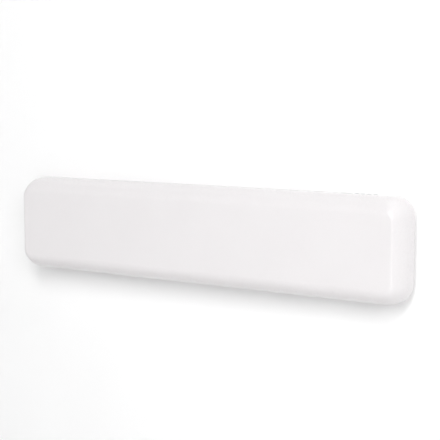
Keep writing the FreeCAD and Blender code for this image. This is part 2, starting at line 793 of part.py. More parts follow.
element_z = -size.element_down
bead_shares = (0.55, 1.0)
bead_radius_share = 1.1
element_pieces = [rod("element_hub", "x", size.hub_radius, element_start, element_end, depth=size.element_out,
                      z=element_z)]
for index, turn in enumerate((1, -1, 1, -1)):
    upward = 1 if index < 2 else -1
    fin = doc.addObject("Part::Box", "element_fin_%d" % index)
    bind(fin, "Length", element_end - element_start)
    bind(fin, "Width", size.fin_sheet)
    bind(fin, "Height", size.fin_reach)
    angle = size.fin_angle * turn if upward > 0 else size.fin_angle * turn + 180
    fin.Placement.Rotation = FreeCAD.Rotation(FreeCAD.Vector(1, 0, 0), angle.value)
    bind(fin, "Placement.Rotation.Angle", angle)
    place(fin, element_start, size.element_out, element_z)
    element_pieces.append(fin)
    for share in bead_shares:
        reach = size.fin_reach * share
        out = reach.value * math.sin(math.radians(angle.value))
        rise = reach.value * math.cos(math.radians(angle.value))
        element_pieces.append(rod("element_bead_%d_%d" % (index, share * 100), "x",
                                  size.fin_sheet * bead_radius_share, element_start, element_end,
                                  depth=size.element_out + out, z=element_z + rise))
element_bore = rod("element_bore", "x", size.rod_radius + size.seat_gap, element_start - overcut,
                   element_end + overcut, depth=size.element_out, z=element_z)
node("element_fins", cut("element_fins", fuse("element_cross", *element_pieces), element_bore))
rod_start = element_start - size.rod_overhang
rod_end = element_end + size.rod_overhang
node("element_rod", rod("element_rod", "x", size.rod_radius, rod_start, rod_end, depth=size.element_out,
                        z=element_z))
terminal_length = 10.0
terminal_radius = 1.6
terminals = []
for side, low in (("left", rod_start - terminal_length), ("right", rod_end)):
    terminals.append(rod("terminal_" + side, "x", terminal_radius, low, low + terminal_length,
                         depth=size.element_out, z=element_z))
node("element_terminals", group("element_terminals", *terminals))

bush_wall = 3.0
bush_radius = size.rod_radius + bush_wall
bush_overhang = 6.0
bush_collar = 4.0
support_sheet = 1.2
support_half = 16.0
support_away = 16.0
support_foot = 18.0
bushes = []
for side, out in (("left", -1), ("right", 1)):
    end = element_start if out < 0 else element_end
    inner_face = end + out * support_away
    outer_face = inner_face + out * support_sheet
    low, high = (outer_face, inner_face) if out < 0 else (inner_face, outer_face)
    foot_end = inner_face + out * support_foot
    foot_x = (foot_end, inner_face) if out < 0 else (inner_face, foot_end)
    upright_plate = block("support_plate_" + side, (low, high), (panel_front, size.element_out),
                          span(element_z, support_half * 2))
    crown = rod("support_crown_" + side, "x", support_half, low, high, depth=size.element_out, z=element_z)
    foot = block("support_foot_" + side, foot_x, (panel_front, panel_front + support_sheet),
                 span(element_z, support_half * 2))
    bush_hole = rod("support_hole_" + side, "x", bush_radius + size.seat_gap, low - overcut, high + overcut,
                    depth=size.element_out, z=element_z)
    foot_places = [(bracket_foot_x[side], step * foot_side - size.element_down) for step in (-1, 1)]
    foot_holes = screw_holes("support_screw_hole_" + side, foot_places,
                             panel_front - overcut, panel_front + support_sheet + overcut)
    node("element_support_" + side, cut("element_support_" + side,
                                        fuse("support_solid_" + side, upright_plate, crown, foot),
                                        bush_hole, *foot_holes))
    sleeve_ends = (low - bush_overhang, high + bush_overhang)
    collar_ends = (high, high + bush_collar) if out < 0 else (low - bush_collar, low)
    sleeve = rod("bush_sleeve_" + side, "x", bush_radius, sleeve_ends[0], sleeve_ends[1],
                 depth=size.element_out, z=element_z)
    collar = rod("bush_collar_" + side, "x", bush_radius + bush_wall, collar_ends[0], collar_ends[1],
                 depth=size.element_out, z=element_z)
    bore = rod("bush_bore_" + side, "x", size.rod_radius + size.seat_gap, sleeve_ends[0] - overcut,
               sleeve_ends[1] + overcut, depth=size.element_out, z=element_z)
    bushes.append(cut("bush_" + side, fuse("bush_solid_" + side, sleeve, collar), bore))
node("element_bushes", group("element_bushes", *bushes))

# Heat shield: a folded sheet that keeps the element's heat off the back panel

shield = new_body("shield_blank")
shield_profile = new_sketch(shield, "shield_profile", "YZ", shield_left)
foot_front = panel_front + size.shield_sheet
shield_front = size.shield_out + size.shield_sheet
shield_outer = size.shield_half + size.shield_foot
inner_leg = size.shield_half - size.shield_sheet
draw_profile(shield_profile, [
    (-panel_front, -shield_outer), (-foot_front, -shield_outer), (-foot_front, -size.shield_half),
    (-shield_front, -size.shield_half), (-shield_front, size.shield_half), (-foot_front, size.shield_half),
    (-foot_front, shield_outer), (-panel_front, shield_outer), (-panel_front, inner_leg),
    (-size.shield_out, inner_leg), (-size.shield_out, -inner_leg), (-panel_front, -inner_leg)])
pad(shield, "shield_sheet_pad", shield_profile, shield_right - shield_left)
node("heat_shield", cut("heat_shield", shield, *screw_holes(
    "shield_hole", shield_rivet_places, panel_front - overcut, foot_front + overcut, rivet_radius)))
for index, (x, z) in enumerate(shield_rivet_places):
    panel_rivets.append(rivet("shield_rivet_%d" % index, "depth", size.wall_gap, foot_front, x=x, z=z))
node("panel_rivets", group("panel_rivets", *panel_rivets))

cutout_inset = 45.0
cutout_up_share = 0.66
cutout_x = shield_right - cutout_inset
cutout_z = size.shield_half * cutout_up_share
cutout_flange_sheet = 1.0
cutout_flange_wide = 26.0
cutout_flange_high = 14.0
can_height = 7.0
flange_front = shield_front + cutout_flange_sheet
can_front = flange_front + can_height
can_radius = 8.0
spade_wide = 6.3
spade_sheet = 0.8
spade_reach = 7.0
cutout_flange = block("cutout_flange", span(cutout_x, cutout_flange_wide), (shield_front, flange_front),
                      span(cutout_z, cutout_flange_high))
cutout_can = rod("cutout_can", "depth", can_radius, flange_front, can_front, x=cutout_x, z=cutout_z)
node("overheat_cutout", fuse("overheat_cutout", cutout_flange, cutout_can))
spades = []
for side in (-1, 1):
    spades.append(block("cutout_tag_%d" % side, span(cutout_x + side * can_radius / 2, spade_sheet),
                        (can_front, can_front + spade_reach), span(cutout_z, spade_wide)))

# Electronics tray: a moulded box with a lid, holding the power board on posts

tray_front = panel_front + size.tray_depth
tray_x = (tray_left, tray_right)
tray_z = span(0, size.tray_height)
tray_floor = panel_front + size.tray_wall
tray_inner_x = (tray_left + size.tray_wall, tray_right - size.tray_wall)
tray_inner_z = (tray_z[0] + size.tray_wall, tray_z[1] - size.tray_wall)
board_gap = 3.0
board_x = (tray_inner_x[0] + board_gap, tray_inner_x[1] - board_gap)
board_z = (tray_inner_z[0] + board_gap, tray_inner_z[1] - board_gap)
board_front = size.board_out + size.board_sheet
post_inset = 6.0
post_places = []
for x in (board_x[0] + post_inset, board_x[1] - post_inset):
    for z in (board_z[0] + post_inset, board_z[1] - post_inset):
        post_places.append((x, z))
post_radius = 3.6
boss_radius = 4.0
board_screw_radius = 1.4
lead_radius = 1.3
lead_gap = 0.2
lead_standing = 11.0
lead_out = board_front + lead_standing
left_lead_share = 0.32
left_lead_z = size.tray_height * left_lead_share
ribbon_standing = 3.0
ribbon_out = board_front + ribbon_standing
ribbon_width = 20.0
ribbon_sheet = 1.0
ribbon_slot_gap = 0.5
switch_lead_side = 4.0
tray_box = block("tray_box", tray_x, (panel_front, tray_front), tray_z)
tray_room = block("tray_room", tray_inner_x, (tray_floor, tray_front + overcut), tray_inner_z)
tray_open = cut("tray_open", tray_box, tray_room)
boss_below_board = 1.0
boss_front = size.board_out - boss_below_board
tray_bosses = []
for index, (x, z) in enumerate(post_places):
    tray_bosses.append(rod("tray_post_%d" % index, "depth", post_radius, tray_floor, size.board_out, x=x,
                           z=z))
for index, (x, z) in enumerate(tray_screw_places):
    tray_bosses.append(rod("tray_boss_%d" % index, "depth", boss_radius, tray_floor, boss_front, x=x, z=z))
tray_solid = fuse("tray_solid", tray_open, *tray_bosses)
tray_tools = screw_holes("tray_screw_hole", tray_screw_places, panel_front - overcut, boss_front - 1)
tray_tools += screw_holes("tray_post_hole", post_places, tray_floor, size.board_out + overcut,
                          board_screw_radius)
for lead_name, z in (("left", left_lead_z), ("right", element_z)):
    tray_tools.append(rod("tray_lead_hole_" + lead_name, "x", lead_radius + lead_gap, tray_left - overcut,
                          tray_inner_x[0] + overcut, depth=lead_out, z=z))
tray_tools.append(block("tray_ribbon_slot", span(control_x, ribbon_width + 2 * ribbon_slot_gap),
                        span(ribbon_out, ribbon_sheet + 2 * lead_gap),
                        (tray_inner_z[1] - overcut, tray_z[1] + overcut)))
for lead_name, x in (("sensor", sensor_x), ("switch_a", control_x - switch_lead_side),
                     ("switch_b", control_x + switch_lead_side)):
    tray_tools.append(rod("tray_drop_hole_" + lead_name, "z", lead_radius + lead_gap, tray_z[0] - overcut,
                          tray_inner_z[0] + overcut, x=x, depth=size.opening_out))
node("electronics_tray", cut("electronics_tray", tray_solid, *tray_tools))
panel_screw_reach = 6.0
node("panel_screws", group("panel_screws", *[
    screw("panel_screw_%d" % index, x, z, size.wall_gap, panel_screw_reach)
    for index, (x, z) in enumerate(element_screw_places + tray_screw_places)]))
lid_plate = block("lid_plate", tray_x, (tray_front, tray_front + size.tray_wall), tray_z)
lid_rim_depth = 3.0
lid_rim_wall = 2.0
lid_rim_x = (tray_inner_x[0] + size.running_gap, tray_inner_x[1] - size.running_gap)
lid_rim_z = (tray_inner_z[0] + size.running_gap, tray_inner_z[1] - size.running_gap)
lid_rim = block("lid_rim", lid_rim_x, (tray_front - lid_rim_depth, tray_front), lid_rim_z)
lid_room = block("lid_room", (lid_rim_x[0] + lid_rim_wall, lid_rim_x[1] - lid_rim_wall),
                 (tray_front - lid_rim_depth - overcut, tray_front),
                 (lid_rim_z[0] + lid_rim_wall, lid_rim_z[1] - lid_rim_wall))
node("tray_lid", cut("tray_lid", fuse("lid_solid", lid_plate, lid_rim), lid_room))

board_blank = block("board_blank", board_x, (size.board_out, board_front), board_z)
node("power_board", cut("power_board", board_blank, *screw_holes(
    "board_hole", post_places, size.board_out - overcut, board_front + overcut)))
board_screw_reach = 5.0
node("board_screws", group("board_screws", *[
    screw("board_screw_%d" % index, x, z, board_front, board_screw_reach, board_screw_radius, -1)
    for index, (x, z) in enumerate(post_places)]))


def board_part(name, x, z, wide, high, standing):
    """A box-shaped part standing on the front of the power board."""
    return block(name, span(x, wide), (board_front, board_front + standing), span(z, high))


relay_right = 25.0
relay_down = 5.0
relay_wide = 20.0
relay_high = 16.0
node("relay", board_part("relay", x=tray_middle + relay_right, z=-relay_down, wide=relay_wide,
                         high=relay_high, standing=relay_high))
transformer_right = 20.0
transformer_up = 28.0
transformer_wide = 28.0
transformer_high = 24.0
transformer_standing = 22.0
node("transformer", board_part("transformer", x=tray_middle + transformer_right, z=transformer_up,
                               wide=transformer_wide, high=transformer_high,
                               standing=transformer_standing))
capacitor_radius = 6.0
capacitor_standing = 18.0
capacitor_left = 8.0
capacitor_up = 30.0
node("capacitor", rod("capacitor", "depth", capacitor_radius, board_front, board_front + capacitor_standing,
                      x=tray_middle - capacitor_left, z=capacitor_up))
terminal_block_high = 12.0
mains_block_wide = 30.0
mains_block_up = 2.0
drop_lead_seat = 7.0
mains_block_foot = board_z[0] + mains_block_up
mains_block_z = mains_block_foot + terminal_block_high / 2
drop_end = mains_block_foot + drop_lead_seat
mains_block = board_part("mains_block", x=control_x, z=mains_block_z, wide=mains_block_wide,
                         high=terminal_block_high, standing=terminal_block_high)
drop_holes = []
for side in (-1, 1):
    drop_holes.append(rod("mains_hole_%d" % side, "z", lead_radius + lead_gap, mains_block_foot - overcut,
                          drop_end + overcut, x=control_x + side * switch_lead_side, depth=size.opening_out))
node("mains_terminal_block", cut("mains_terminal_block", mains_block, *drop_holes))
element_blocks = []
block_inset = 4.0
block_wide = 14.0
block_start = board_x[0] + block_inset
element_lead_seat = 6.0
hole_beyond_lead = 2.0
block_over_lead = 4.0
lead_end = block_start + element_lead_seat
for lead_name, z in (("left", left_lead_z), ("right", element_z)):
    body_block = board_part("element_block_" + lead_name, x=block_start + block_wide / 2, z=z,
                            wide=block_wide, high=terminal_block_high,
                            standing=lead_standing + block_over_lead)
    hole = rod("element_block_hole_" + lead_name, "x", lead_radius + lead_gap, block_start - overcut,
               lead_end + hole_beyond_lead, depth=lead_out, z=z)
    element_blocks.append(cut("element_block_cut_" + lead_name, body_block, hole))
node("element_terminal_blocks", group("element_terminal_blocks", *element_blocks))
socket_high = 8.0
socket_standing = 7.0
ribbon_socket_down = 4.0
ribbon_socket_rim = 3.0
sensor_socket_up = 2.0
sensor_socket_wide = 8.0
ribbon_socket_top = board_z[1] - ribbon_socket_down
sensor_socket_foot = board_z[0] + sensor_socket_up
node("board_sockets", group(
    "board_sockets",
    board_part("ribbon_socket", x=control_x, z=ribbon_socket_top - socket_high / 2,
               wide=ribbon_width + 2 * ribbon_socket_rim, high=socket_high, standing=socket_standing),
    board_part("sensor_socket", x=sensor_x, z=sensor_socket_foot + socket_high / 2,
               wide=sensor_socket_wide, high=socket_high, standing=socket_standing)))

# Control strip: a housing under the cover's top, a panel flush in the opening, a display and four buttons

flange_over = 2.0
panel_thick = 2.9
panel_under = half_height - panel_thick
panel_flange_top = inner_top - size.seat_gap
housing_drop = 21.0
housing_floor_thick = 2.0
housing_floor = half_height - housing_drop
housing_base = housing_floor - housing_floor_thick
room_end_wall = 1.0
room_side_gap = 0.3
room_long = size.control_length - 2 * room_end_wall
room_deep = size.opening_depth + 2 * room_side_gap
housing_wall = 1.2
housing_long = size.control_length + 2 * (flange_over + size.running_gap + housing_wall)
housing_deep = size.opening_depth + 2 * (flange_over + size.running_gap + housing_wall)
housing_box = block("housing_box", span(control_x, housing_long), span(size.opening_out, housing_deep),
                    (housing_base, panel_flange_top))
housing_room = block("housing_room", span(control_x, room_long), span(size.opening_out, room_deep),
                     (housing_floor, panel_under + overcut))
seat_over = 2 * (flange_over + size.running_gap)
housing_seat = block("housing_seat", span(control_x, size.control_length + seat_over),
                     span(size.opening_out, size.opening_depth + seat_over),
                     (panel_under, panel_flange_top + overcut))
housing_slot = block("housing_slot", span(control_x, ribbon_width + 2 * ribbon_slot_gap),
                     span(ribbon_out, ribbon_sheet + 2 * lead_gap),
                     (housing_base - overcut, housing_floor + overcut))
node("control_housing", cut("control_housing", housing_box, housing_room, housing_seat, housing_slot))

display_side = 40.0
display_x = control_x - display_side
window_long = 30.0
window_deep = 10.0
window_thick = 1.6
window_ledge = 2.0
first_button_side = 12.0
button_places = {}
for step, button_name in enumerate(("power", "down", "up", "menu")):
    button_places[button_name] = control_x - first_button_side + step * size.button_pitch
panel_face = block("panel_face", span(control_x, size.control_length - 2 * size.running_gap),
                   span(size.opening_out, size.opening_depth - 2 * size.running_gap),
                   (panel_under, half_height))
panel_flange = block("panel_flange", span(control_x, size.control_length + 2 * flange_over),
                     span(size.opening_out, size.opening_depth + 2 * flange_over),
                     (panel_under, panel_flange_top))
panel_tools = [
    block("window_seat", span(display_x, window_long + 2 * size.seat_gap),
          span(size.opening_out, window_deep + 2 * size.seat_gap),
          (half_height - window_thick, half_height + overcut)),
    block("window_light", span(display_x, window_long - 2 * window_ledge),
          span(size.opening_out, window_deep - 2 * window_ledge), (panel_under - overcut, half_height))]
for button_name, x in button_places.items():
    panel_tools.append(rod("button_hole_" + button_name, "z", size.button_radius + size.running_gap,
                           panel_under - overcut, half_height + overcut, x=x, depth=size.opening_out))
node("control_panel", cut("control_panel", fuse("control_panel_solid", panel_face, panel_flange),
                          *panel_tools))
node("display_window", block("display_window", span(display_x, window_long),
                             span(size.opening_out, window_deep), (half_height - window_thick, half_height)))
display_top = housing_floor + size.board_sheet
node("display_board", block("display_board", span(control_x, room_long - 2 * size.running_gap),
                            span(size.opening_out, room_deep - 2 * size.running_gap),
                            (housing_floor, display_top)))
digit_under = 1.5
node("digit_display", block("digit_display", span(display_x, window_long - window_ledge),
                            span(size.opening_out, window_deep), (display_top, panel_under - digit_under)))
tact_side = 6.0
tact_height = 3.6
tact_knob = 1.2
tact_knob_radius = 1.7
tacts = []
for button_name, x in button_places.items():
    tact_case = block("tact_case_" + button_name, span(x, tact_side), span(size.opening_out, tact_side),
                      (display_top, display_top + tact_height))
    tact_stem = rod("tact_knob_" + button_name, "z", tact_knob_radius, display_top + tact_height,
                    display_top + tact_height + tact_knob, x=x, depth=size.opening_out)
    tacts.append(fuse("tact_" + button_name, tact_case, tact_stem))
node("tact_switches", group("tact_switches", *tacts))
module_side = 51.5
module_x = control_x + module_side
card_long = 11.0
card_deep = 13.0
can_side = 9.0
card_thick = 0.8
can_thick = 2.2
can_shift = 1.5
card_top = display_top + card_thick
can_top = card_top + can_thick
node("radio_module", fuse(
    "radio_module",
    block("radio_card", span(module_x, card_long), span(size.opening_out, card_deep),
          (display_top, card_top)),
    block("radio_can", span(module_x, can_side), span(size.opening_out + can_shift, can_side),
          (card_top, can_top))))

collar_top = panel_under - size.running_gap
collar_height = 2.0
collar_over = 1.2
button_stem_radius = 2.0
stem_clear = 0.2
stem_foot = display_top + tact_height + tact_knob + size.button_travel + stem_clear
for button_name, x in button_places.items():
    cap = rod("cap_" + button_name, "z", size.button_radius, collar_top, half_height + size.button_proud, x=x,
              depth=size.opening_out)
    collar = rod("collar_" + button_name, "z", size.button_radius + collar_over, collar_top - collar_height,
                 collar_top, x=x, depth=size.opening_out)
    stem = rod("stem_" + button_name, "z", button_stem_radius, stem_foot, collar_top - collar_height, x=x,
               depth=size.opening_out)
    node("button_" + button_name, fuse("button_" + button_name, cap, collar, stem))

# Mains switch: a snap-in housing in the underside with a rocker on an axle

switch_clear = 0.4
axis_rise = 6.0
switch_rise = 21.0
switch_roof = 6.0
switch_brim = 1.5
switch_brim_sheet = 1.2
rocker_axis_z = axis_rise - half_height
switch_face = -half_height
case_x = span(control_x, switch_length - switch_clear)
case_deep = span(size.opening_out, switch_depth - switch_clear)
switch_top = switch_rise - half_height
rocker_end_gap = 2.0
rocker_side_gap = 0.5
room_half = size.rocker_half + rocker_end_gap
rocker_half_deep = 5.0
switch_case = block("switch_case", case_x, case_deep, (switch_face, switch_top))
switch_flange = block("switch_flange", span(control_x, switch_length + 2 * switch_brim),
                      span(size.opening_out, switch_depth + 2 * switch_brim),
                      (switch_face - switch_brim_sheet, switch_face))
switch_room = block("switch_room", (control_x - room_half, control_x + room_half),
                    span(size.opening_out, 2 * (rocker_half_deep + rocker_side_gap)),
                    (switch_face - switch_brim_sheet - overcut, switch_top - switch_roof))
axle_limits = span(size.opening_out, switch_depth - switch_clear)
axle_radius = 1.2
switch_bore = rod("switch_bore", "depth", axle_radius + size.seat_gap, axle_limits[0] - overcut,
                  axle_limits[1] + overcut, x=control_x, z=rocker_axis_z)
node("switch_housing", cut("switch_housing", fuse("switch_solid", switch_case, switch_flange), switch_room,
                           switch_bore))
node("switch_axle", rod("switch_axle", "depth", axle_radius, axle_limits[0], axle_limits[1], x=control_x,
                        z=rocker_axis_z))
rocker = new_body("rocker_body")
rocker_outline = new_sketch(rocker, "rocker_outline", "XZ", -rocker_half_deep)
rocker_tip = 8.0
rocker_dip = 6.6
rocker_shoulder = 3.0
rocker_crown = 2.5
draw_profile(rocker_outline, [
    (-size.rocker_half, -rocker_tip), (0, -rocker_dip), (size.rocker_half, -rocker_tip),
    (size.rocker_half, -rocker_shoulder), (rocker_shoulder, rocker_crown), (-rocker_shoulder, rocker_crown),
    (-size.rocker_half, -rocker_shoulder)])
pad(rocker, "rocker_pad", rocker_outline, 2 * rocker_half_deep)
rocker_hole = new_sketch(rocker, "rocker_hole", "XZ", -rocker_half_deep)
draw_circle(rocker_hole, axle_radius + size.running_gap)
pocket(rocker, "rocker_bore", rocker_hole, 2 * rocker_half_deep)
rocker.Placement.Rotation = FreeCAD.Rotation(FreeCAD.Vector(0, -1, 0), size.rocker_tilt.value)
bind(rocker, "Placement.Rotation.Angle", size.rocker_tilt)
place(rocker, control_x, size.opening_out, rocker_axis_z)
node("switch_rocker", rocker)
for side in (-1, 1):
    spades.append(block("switch_tag_%d" % side, span(control_x + side * switch_lead_side, spade_sheet),
                        span(size.opening_out, spade_wide), (switch_top, switch_top + spade_reach)))
node("spade_terminals", group("spade_terminals", *spades))

# Room sensor: a bead in a slotted cap in the underside

cap_wall = 1.2
cap_rise = 14.0
cap_brim = 2.0
cap_brim_sheet = 1.0
cap_slot_pitch = 3.2
cap_slot_width = 1.4
cap_slot_long = 8.0
cap_top = cap_rise - half_height
cap_sleeve = rod("sensor_sleeve", "z", sensor_radius, -half_height, cap_top, x=sensor_x,
                 depth=size.opening_out)
cap_flange = rod("sensor_flange", "z", sensor_radius + cap_brim, -half_height - cap_brim_sheet, -half_height,
                 x=sensor_x, depth=size.opening_out)
cap_room = rod("sensor_room", "z", sensor_radius - cap_wall, -half_height, cap_top - cap_wall, x=sensor_x,
               depth=size.opening_out)
bead_radius = 2.2
bead_below = 9.0
bead_above = 2.0
cap_tools = [cap_room, rod("sensor_lead_hole", "z", bead_radius + size.seat_gap, cap_top - cap_wall - overcut,
                           cap_top + overcut, x=sensor_x, depth=size.opening_out)]
for step in (-1, 0, 1):
    cap_tools.append(block("sensor_slot_%d" % step, span(sensor_x + step * cap_slot_pitch, cap_slot_width),
                           span(size.opening_out, cap_slot_long),
                           (-half_height - cap_brim_sheet - overcut, overcut - half_height)))
node("sensor_cap", cut("sensor_cap", fuse("sensor_solid", cap_sleeve, cap_flange), *cap_tools))
bead_top = cap_top + bead_above
node("sensor_bead", rod("sensor_bead", "z", bead_radius, cap_top - bead_below, bead_top, x=sensor_x,
                        depth=size.opening_out))

# Cord gland and earth stud on the back panel

gland_head = 6.0
gland_brim = 3.0
gland_reach = 13.0
gland_nut_thick = 5.0
gland_nut_across = 24.0
gland_flange_face = size.wall_gap - gland_head
gland_end = panel_front + gland_reach
gland_flange = rod("gland_flange", "depth", gland_sleeve + gland_brim, gland_flange_face, size.wall_gap,
                   x=gland_x, z=gland_z)
gland_tube = rod("gland_tube", "depth", gland_sleeve, size.wall_gap, gland_end, x=gland_x, z=gland_z)
gland_bore = rod("gland_bore", "depth", size.cord_hole_radius, gland_flange_face - overcut,
                 gland_end + overcut, x=gland_x, z=gland_z)
node("cord_gland", cut("cord_gland", fuse("gland_solid", gland_flange, gland_tube), gland_bore))


def nut(name, across, thick, hole_radius, x, z):
    """A hexagon nut tightened on the front of the back panel."""
    blank = hexagon(name + "_blank", across, panel_front, panel_front + thick, x, z)
    hole = rod(name + "_hole", "depth", hole_radius + size.seat_gap, panel_front - overcut,
               panel_front + thick + overcut, x=x, z=z)
    return node(name, cut(name, blank, hole))


nut("gland_nut", gland_nut_across, gland_nut_thick, gland_sleeve, gland_x, gland_z)
earth_head_radius = 4.0
earth_head_thick = 1.2
earth_reach = 10.0
earth_nut_across = 8.0
earth_nut_thick = 3.2
stud_shank = rod("earth_shank", "depth", earth_radius, size.wall_gap, panel_front + earth_reach, x=earth_x,
                 z=earth_z)
stud_head = rod("earth_head", "depth", earth_head_radius, size.wall_gap - earth_head_thick, size.wall_gap,
                x=earth_x, z=earth_z)
node("earth_stud", fuse("earth_stud", stud_shank, stud_head))
nut("earth_nut", earth_nut_across, earth_nut_thick, earth_radius, earth_x, earth_z)

# Wiring: leads are runs in space, so each one is swept along its own bent path


def lead(name, radius, bend, corners):
    """A round lead through the given (x, depth, z) corners, with a bend of the given radius at each."""
    points = []
    for x, depth, z in corners:
        points.append(FreeCAD.Vector(length(x).value, -length(depth).value, length(z).value))
    edges = []
    start = points[0]
    for before, corner, after in zip(points, points[1:], points[2:]):
        come = (before - corner).normalize()
        leave = (after - corner).normalize()
        half = come.getAngle(leave) / 2
        reach = bend / math.tan(half)
        first = corner + come * reach
        last = corner + leave * reach
        middle = corner + (come + leave).normalize() * (bend / math.sin(half) - bend)
        edges.append(Part.LineSegment(start, first).toShape())
        edges.append(Part.Arc(first, middle, last).toShape())
        start = last
    edges.append(Part.LineSegment(start, points[-1]).toShape())
    path = Part.Wire(edges)
    ring = Part.Wire([Part.makeCircle(radius, points[0], points[1] - points[0])])
    item = doc.addObject("Part::Feature", name)
    item.Shape = path.makePipeShell([ring], True, False)
    return item


lead_bend = 5.0
short_lead_bend = 4.0
clip_floor = 0.8
clip_roof = 1.5
clip_wide = 6.0
clip_high = 10.0
clip_inset = 60.0
CLIP_COUNT = 6
lead_lift = panel_front + lead_radius + clip_floor
left_end = rod_start - terminal_length
right_end = rod_end + terminal_length
lead_below_top = 30.0
lead_run_z = half_height - lead_below_top
lead_drop_gap = 12.0
lead_left_reach = 8.0
lead_drop_x = tray_left - lead_drop_gap
lead_left_x = left_end - lead_left_reach
node("element_lead_left", lead("element_lead_left", lead_radius, lead_bend, [
    (left_end, size.element_out, element_z), (lead_left_x, size.element_out, element_z),
    (lead_left_x, lead_lift, element_z), (lead_left_x, lead_lift, lead_run_z),
    (lead_drop_x, lead_lift, lead_run_z), (lead_drop_x, lead_lift, left_lead_z),
    (lead_drop_x, lead_out, left_lead_z), (lead_end, lead_out, left_lead_z)]))
lead_step_x = (right_end + tray_left) / 2
node("element_lead_right", lead("element_lead_right", lead_radius, short_lead_bend, [
    (right_end, size.element_out, element_z), (lead_step_x, size.element_out, element_z),
    (lead_step_x, lead_out, element_z), (lead_end, lead_out, element_z)]))
clip_front = lead_lift + lead_radius + clip_roof
clip_run = lead_drop_x - lead_left_x - 2 * clip_inset
clips = []
for step in range(CLIP_COUNT):
    clip_x = lead_left_x + clip_inset + clip_run * step / (CLIP_COUNT - 1)
    clip_limits = span(clip_x, clip_wide)
    clip_block = block("clip_block_%d" % step, clip_limits, (panel_front, clip_front),
                       span(lead_run_z, clip_high))
    clip_hole = rod("clip_hole_%d" % step, "x", lead_radius + size.seat_gap, clip_limits[0] - overcut,
                    clip_limits[1] + overcut, depth=lead_lift, z=lead_run_z)
    clips.append(cut("clip_%d" % step, clip_block, clip_hole))
node("wire_clips", group("wire_clips", *clips))
drop_leads = [rod("sensor_lead", "z", lead_radius, bead_top, sensor_socket_foot, x=sensor_x,
                  depth=size.opening_out)]
for side in (-1, 1):
    drop_leads.append(rod("switch_lead_%d" % side, "z", lead_radius, switch_top + spade_reach, drop_end,
                          x=control_x + side * switch_lead_side, depth=size.opening_out))
node("drop_leads", group("drop_leads", *drop_leads))
node("display_ribbon", block("display_ribbon", span(control_x, ribbon_width), span(ribbon_out, ribbon_sheet),
                             (ribbon_socket_top, housing_floor)))

# Check every object and write one file per piece

doc.recompute()
for item in doc.Objects:
    if "Invalid" in item.State or "Error" in item.State:
        raise RuntimeError("%s is in state %s" % (item.Name, item.State))
os.makedirs("parts", exist_ok=True)
for item in nodes:
    shape = item.Shape
    if shape.isNull() or not shape.isValid() or not shape.Solids:
        raise RuntimeError("%s has no valid solid" % item.Label)
    shape.exportStep("parts/%s.step" % item.Label)
print(len(nodes), "pieces written")
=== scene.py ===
import bpy
import math
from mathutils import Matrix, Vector


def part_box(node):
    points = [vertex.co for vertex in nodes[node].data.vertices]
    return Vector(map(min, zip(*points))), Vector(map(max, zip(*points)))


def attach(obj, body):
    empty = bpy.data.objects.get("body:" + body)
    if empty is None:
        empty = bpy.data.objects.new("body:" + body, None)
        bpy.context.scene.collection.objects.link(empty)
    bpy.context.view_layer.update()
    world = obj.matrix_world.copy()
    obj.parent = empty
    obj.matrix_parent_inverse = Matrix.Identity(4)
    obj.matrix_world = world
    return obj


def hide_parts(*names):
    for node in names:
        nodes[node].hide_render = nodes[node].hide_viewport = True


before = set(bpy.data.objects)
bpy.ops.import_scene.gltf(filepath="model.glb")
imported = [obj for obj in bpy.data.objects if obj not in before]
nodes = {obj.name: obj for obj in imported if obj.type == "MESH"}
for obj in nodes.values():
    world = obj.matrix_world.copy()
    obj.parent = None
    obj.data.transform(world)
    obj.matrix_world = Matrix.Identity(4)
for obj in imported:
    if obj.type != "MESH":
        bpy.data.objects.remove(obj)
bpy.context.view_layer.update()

# Front cover
# One drawn steel sheet with elliptical top and bottom edges, ends that turn through a tight bend into a wide
# arc, and a lip turned in at the back for the screws. It wears a warm white satin powder with a faint orange
# peel.


class Wave:
    """A shader socket that takes part in sums like a number."""

    def __init__(self, tree, socket):
        self.tree = tree
        self.socket = socket

    def node(self, kind, settings=None, out=0, **inputs):
        """A further node of the same tree, with its settings, and its inputs by name or by number."""
        made = self.tree.nodes.new(kind)
        for name, value in (settings or {}).items():
            setattr(made, name, value)
        for name, value in inputs.items():
            number = name[1:]
            socket = made.inputs[int(number) if number.isdigit() else name.replace("_", " ")]
            if isinstance(value, Wave):
                self.tree.links.new(value.socket, socket)
            else:
                socket.default_value = value
        return Wave(self.tree, made.outputs[out])

    def math(self, operation, *values):
        inputs = {"_%d" % index: value for index, value in enumerate(values)}
        return self.node("ShaderNodeMath", {"operation": operation}, **inputs)

    def __add__(self, other):
        return self.math("ADD", self, other)

    def __radd__(self, other):
        return self.math("ADD", other, self)

    def __sub__(self, other):
        return self.math("SUBTRACT", self, other)

    def __rsub__(self, other):
        return self.math("SUBTRACT", other, self)

    def __mul__(self, other):
        return self.math("MULTIPLY", self, other)

    def above(self, limit):
        return self.math("GREATER_THAN", self, limit)

    def size(self):
        return self.math("ABSOLUTE", self)

    def root(self):
        return self.math("SQRT", self)

    def between(self, low, high):
        """Rises from 0 at low to 1 at high."""
        return self.node("ShaderNodeMapRange", {"interpolation_type": "SMOOTHSTEP"}, Value=self, From_Min=low,
                         From_Max=high)

    def blend(self, first, second):
        """A colour that runs from first to second as the value runs from 0 to 1."""
        return self.node("ShaderNodeMix", {"data_type": "RGBA"}, out=2, _0=self, _6=first, _7=second)

    def tint(self, dull, shade, low=0.3, high=0.7):
        """A colour that runs from dull to shade as the value runs from low to high."""
        return self.between(low, high).blend(dull, shade)


def colour(red, green, blue):
    return (red, green, blue, 1.0)


